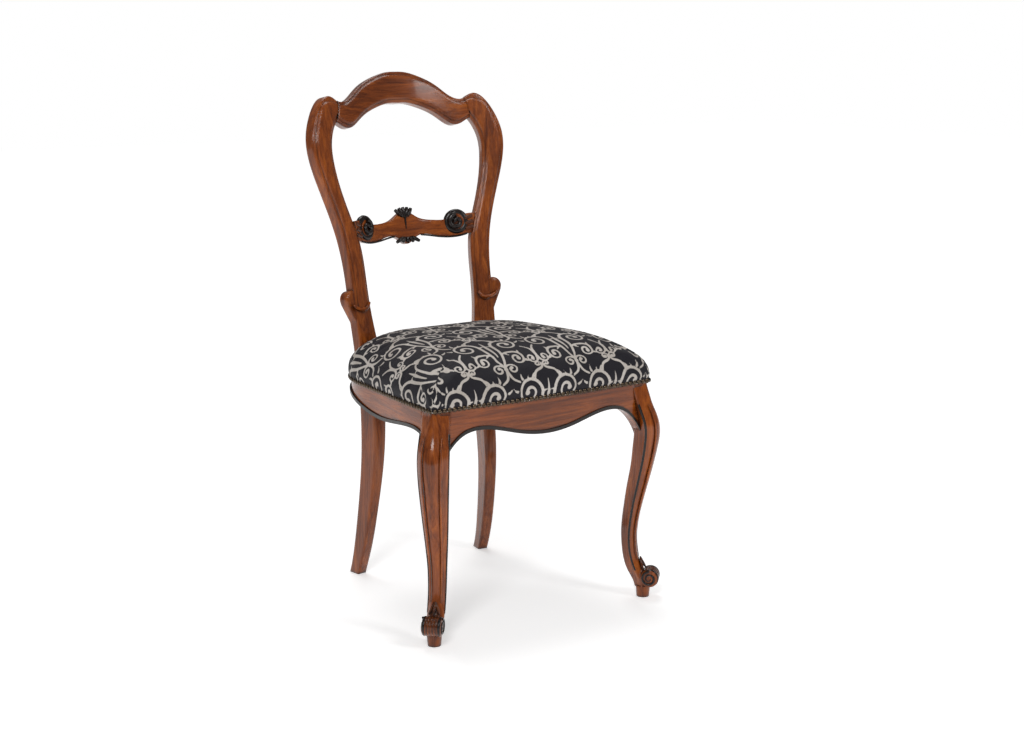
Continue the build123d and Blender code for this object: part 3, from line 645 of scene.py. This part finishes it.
# scroll pattern of the fabric, drawn on the cloth as if it lay flat, in mm
# a branch is a stem, its half widths, and the curl it ends in: centre, radius, start, turns, hand, half width
# a leaf is its root, angle, length, half width
motif = {"repeatX": 150.0, "repeatY": 118.0, "startY": -20, "tiles": 4, "flatTo": -50.0, "sideBelow": 470,
         "branches": [([(0, -60), (7, -42), (12, -20), (13, 6)], 1.8, 3.2, (40, 6, 27, math.pi, 1.5, -1, 3.2)),
                      ([(10, -30), (20, -26), (32, -26)], 1.6, 2.7, (34, -42, 16, math.pi / 2, 1.3, -1, 2.7)),
                      ([(26, 29), (20, 40), (9, 45)], 1.6, 2.6, (9, 55, 10, -math.pi / 2, 1.1, -1, 2.3)),
                      ([(58, 26), (70, 34), (76, 52)], 1.6, 2.8, (62, 52, 14, 0.0, 1.2, 1, 2.5)),
                      ([(62, -10), (72, -24), (75, -44)], 1.6, 2.6, (62, -46, 12, 0.1, 1.1, -1, 2.3))],
         "leaves": [(13, 4, 2.4, 13, 2.6), (30, 31, 1.9, 12, 2.4), (52, 30, 1.2, 12, 2.4),
                    (66, 10, 0.3, 13, 2.5), (18, -28, -1.2, 11, 2.3), (44, -29, 0.9, 11, 2.2),
                    (49, -48, -0.6, 11, 2.2), (40, 28, 1.4, 9, 2.0)],
         "spine": [([(0, -34), (0, -18), (0, 0)], 1.2, 3.4), ([(0, 0), (0, 12), (0, 26)], 3.4, 0.8)],
         "curlSteps": 40, "curlIn": 0.80, "curlEase": 0.85, "curlThin": 0.35, "curlTip": 1.45,
         "stemSteps": 12, "leafSteps": 6, "leafBend": 0.5, "leafThin": 0.8,
         "corner": 16, "edgeBand": 2, "nearest": 6, "far": 9.0}


def curl(cx, cy, radius, outer, turns, hand, wide):  # from its outer end in to a round tip
    steps = int(motif["curlSteps"] * turns)
    line = []
    for i in range(steps + 1):
        t = i / steps
        r = radius * (1 - motif["curlIn"] * t ** motif["curlEase"])
        a = outer + hand * 2 * math.pi * turns * t
        half = wide * (1.0 - motif["curlThin"] * math.sin(math.pi * t))
        line.append((cx + r * math.cos(a), cy + r * math.sin(a), half))
    return [line, [(line[-1][0], line[-1][1], wide * motif["curlTip"])]]


def stem(points, start, end):
    vecs = catmull([Vector(p) for p in points], motif["stemSteps"])
    n = len(vecs) - 1
    return [(p.x, p.y, start + (end - start) * i / n) for i, p in enumerate(vecs)]


def leaf(x, y, angle, length, wide):  # a pointed leaf off a stem
    tip = []
    for i in range(motif["leafSteps"] + 1):
        t = i / motif["leafSteps"]
        bend = angle + motif["leafBend"] * t
        half = wide * (1 - motif["leafThin"] * t)
        tip.append((x + length * t * math.cos(bend), y + length * t * math.sin(bend), half))
    return tip


def scrollStrokes():  # lines of (x, y, half width) for one repeat, about its middle
    half = []
    for points, start, end, turn in motif["branches"]:
        half.append(stem(points, start, end))
        half += curl(*turn)
    half += [leaf(*row) for row in motif["leaves"]]
    mirrored = [[(-x, y, w) for x, y, w in line] for line in half]
    return half + mirrored + [stem(*row) for row in motif["spine"]]


def motifField():
    tile = scrollStrokes()
    points = []
    reach = range(-motif["tiles"], motif["tiles"] + 1)
    for row in reach:
        for col in reach:
            ox = col * motif["repeatX"] + (motif["repeatX"] / 2 if row % 2 else 0)
            oy = motif["startY"] + row * motif["repeatY"]
            for stroke in tile:
                points += [(ox + x, oy + y, w) for x, y, w in stroke]
    return points


def nearestOnOutline(outline, tree, p):
    _, i, _ = tree.find((p.x, p.y, 0))
    best = None
    n = len(outline)
    for a, b in ((outline[i - 1], outline[i]), (outline[i], outline[(i + 1) % n])):
        along = b - a
        t = max(0.0, min(1.0, (p - a).dot(along) / along.length_squared))
        q = a + along * t
        gap = (p - q).length
        if best is None or gap < best[0]:
            best = (gap, q, Vector((along.y, -along.x)).normalized())
    return best


def clothRun():  # length of cloth from the flat top down to each height of the cushion's side
    rows = [(z, grow) for z, grow, _ in seat["levels"]][::-1]
    rows = [row for row in rows if row[1] >= motif["flatTo"] or row[0] < motif["sideBelow"]]
    run = [(rows[0][0], rows[0][1])]
    for (z0, g0), (z1, g1) in zip(rows, rows[1:]):
        run.append((z1, run[-1][1] + math.hypot(z1 - z0, g1 - g0)))
    return run


def flatPlace(outline, tree, run, co):  # where a point of the cushion would lie on the flat cloth
    p = Vector((co.x / mm, co.y / mm - shiftY))
    z = co.z / mm
    gap, q, normal = nearestOnOutline(outline, tree, p)
    inside = (p - q).dot(normal) < 0
    if z >= run[0][0] or (inside and -gap <= motif["flatTo"]):
        return p
    if gap > motif["edgeBand"]:
        normal = (p - q) / (-gap if inside else gap)
    for (z0, s0), (z1, s1) in zip(run, run[1:]):
        if z >= z1:
            return q + normal * (s0 + (s1 - s0) * (z0 - z) / (z0 - z1))
    return q + normal * run[-1][1]


def flatTree(places):
    tree = KDTree(len(places))
    for i, p in enumerate(places):
        tree.insert((p[0], p[1], 0), i)
    tree.balance()
    return tree


def drawMotif(obj):
    outline = ringAt(0, motif["corner"])
    around = flatTree(outline)
    run = clothRun()
    field = motifField()
    strokes = flatTree(field)
    values = []
    for v in obj.data.vertices:
        flat = flatPlace(outline, around, run, v.co)
        best = motif["far"]
        for _, index, dist in strokes.find_n((flat.x, flat.y, 0), motif["nearest"]):
            best = min(best, dist - field[index][2])
        values.append(best)
    layer = obj.data.attributes.new("scroll", "FLOAT", "POINT")
    layer.data.foreach_set("value", values)


# black cloth with silver scrolls, which stand up a little from the weave
fabric = {"ground": (0.0035, 0.003, 0.005), "groundLight": (0.012, 0.010, 0.017), "groundStops": (0.3, 0.75),
          "silver": (0.66, 0.61, 0.56), "silverDark": (0.36, 0.33, 0.305), "silverStops": (0.25, 0.7),
          "tarnish": (0.30, 0.26, 0.22), "tarnishScale": (30, 30, 30), "tarnishRange": (0.35, 0.7),
          "tarnishMost": 0.5,
          "softLine": 0.35, "warpScale": (420, 420, 420), "warpTurn": (0, 0, 0.78), "warpWander": 0.6,
          "thread": (900, 900, 900), "groundRough": 0.62, "silverRough": 0.42,
          "gloss": 0.25, "sheen": 0.02, "sheenRough": 0.4, "raised": 0.8, "bump": (0.35, 0.0006)}


def fabricFinish():
    f = fabric
    mat, tree, shader = newMaterial("scrollFabric")
    read = tree.nodes.new("ShaderNodeAttribute")
    read.attribute_name = "scroll"
    mask = mapRange(tree, read.outputs["Fac"], f["softLine"], -f["softLine"], 0.0, 1.0)
    warp = add(tree, "ShaderNodeTexWave", Scale=1.0, Distortion=f["warpWander"])
    tree.links.new(coords(tree, f["warpScale"], f["warpTurn"]), warp.inputs["Vector"])
    thread = noise(tree, f["thread"], 3.0)
    blotch = noise(tree, f["tarnishScale"], 3.0, 0.5)
    ground = ramp(tree, thread, list(zip(f["groundStops"], (f["ground"], f["groundLight"]))))
    silver = ramp(tree, thread, list(zip(f["silverStops"], (f["silverDark"], f["silver"]))))
    dulled = mapRange(tree, blotch, *f["tarnishRange"], 0.0, f["tarnishMost"])
    silver = blendColours(tree, dulled, silver, f["tarnish"])
    tree.links.new(blendColours(tree, mask, ground, silver), shader.inputs["Base Color"])
    rough = mapRange(tree, mask, 0.0, 1.0, f["groundRough"], f["silverRough"])
    tree.links.new(rough, shader.inputs["Roughness"])
    shader.inputs["Specular IOR Level"].default_value = f["gloss"]
    shader.inputs["Sheen Weight"].default_value = f["sheen"]
    shader.inputs["Sheen Roughness"].default_value = f["sheenRough"]
    height = tree.nodes.new("ShaderNodeMath")
    height.operation = "MULTIPLY_ADD"
    tree.links.new(mask, height.inputs[0])
    height.inputs[1].default_value = f["raised"]
    tree.links.new(warp.outputs["Fac"], height.inputs[2])
    bump(tree, shader, height.outputs[0], *f["bump"])
    return mat


def makeCushion():
    obj = cushionForm()
    puff(obj)
    cutRoundStiles(obj)
    drawMotif(obj)
    obj.data.materials.clear()
    obj.data.materials.append(fabricFinish())
    for face in obj.data.polygons:
        face.use_smooth = True
    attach(obj, "root")
    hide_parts("seat_cover", "seat_foam")
    print("cushion", len(obj.data.vertices), "points")


makeCushion()

# pale floor and soft studio light; a light is its place, aim, size, power
studio = {"room": 0.24, "backdrop": 1.0, "floor": 12.0, "drop": -0.0005, "pale": (0.93, 0.93, 0.93, 1),
          "floorRough": 0.6, "floorGloss": 0.1,
          "glowFrom": 0.8, "glowTo": 4.0, "glowNear": 0.40, "glowFar": 0.80,
          "lights": {"softKey": ((-2.4, -2.4, 2.8), (0, 0, 0.5), (1.1, 1.1), 62),
                     "softFill": ((1.3, -3.3, 2.9), (0, 0, 0.5), (0.9, 1.4), 36),
                     "softTop": ((0.3, 0.9, 3.2), (0, 0, 0.4), (1.6, 1.6), 42)}}
white = (1, 1, 1, 1)


def areaLight(name, place, aim, size, power):
    data = bpy.data.lights.new(name, "AREA")
    data.shape = "RECTANGLE"
    data.size, data.size_y = size
    data.energy = power
    obj = bpy.data.objects.new(name, data)
    obj.location = place
    obj.rotation_euler = (Vector(aim) - Vector(place)).to_track_quat("-Z", "Y").to_euler()
    bpy.context.scene.collection.objects.link(obj)


def buildRoom():
    world = bpy.data.worlds.new("studio")
    world.use_nodes = True
    tree = world.node_tree
    room = tree.nodes["Background"]
    room.inputs["Color"].default_value = white
    room.inputs["Strength"].default_value = studio["room"]
    paper = add(tree, "ShaderNodeBackground", Color=white, Strength=studio["backdrop"])  # behind the chair
    either = tree.nodes.new("ShaderNodeMixShader")
    seen = tree.nodes.new("ShaderNodeLightPath")
    tree.links.new(seen.outputs["Is Camera Ray"], either.inputs[0])
    tree.links.new(room.outputs[0], either.inputs[1])
    tree.links.new(paper.outputs[0], either.inputs[2])
    tree.links.new(either.outputs[0], tree.nodes["World Output"].inputs["Surface"])
    bpy.context.scene.world = world
    bpy.context.scene.view_settings.view_transform = "Standard"


def floorFinish():  # glows a little more further out, so that it runs into the white behind it
    mat, tree, shader = newMaterial("paleFloor")
    shader.inputs["Base Color"].default_value = studio["pale"]
    shader.inputs["Roughness"].default_value = studio["floorRough"]
    shader.inputs["Specular IOR Level"].default_value = studio["floorGloss"]
    shader.inputs["Emission Color"].default_value = white
    place = tree.nodes.new("ShaderNodeTexCoord")
    reach = tree.nodes.new("ShaderNodeVectorMath")
    reach.operation = "LENGTH"
    tree.links.new(place.outputs["Object"], reach.inputs[0])
    glow = mapRange(tree, reach.outputs["Value"], studio["glowFrom"], studio["glowTo"],
                    studio["glowNear"], studio["glowFar"])
    tree.links.new(glow, shader.inputs["Emission Strength"])
    return mat


def buildFloor():
    size = studio["floor"]
    corners = [(-size, -size, 0), (size, -size, 0), (size, size, 0), (-size, size, 0)]
    mesh = bpy.data.meshes.new("floor")
    mesh.from_pydata(corners, [], [(0, 1, 2, 3)])
    mesh.materials.append(floorFinish())
    floor = bpy.data.objects.new("floor", mesh)
    floor.location.z = studio["drop"]
    bpy.context.scene.collection.objects.link(floor)


buildRoom()
buildFloor()
for name, settings in studio["lights"].items():
    areaLight(name, *settings)
print("studio ready")
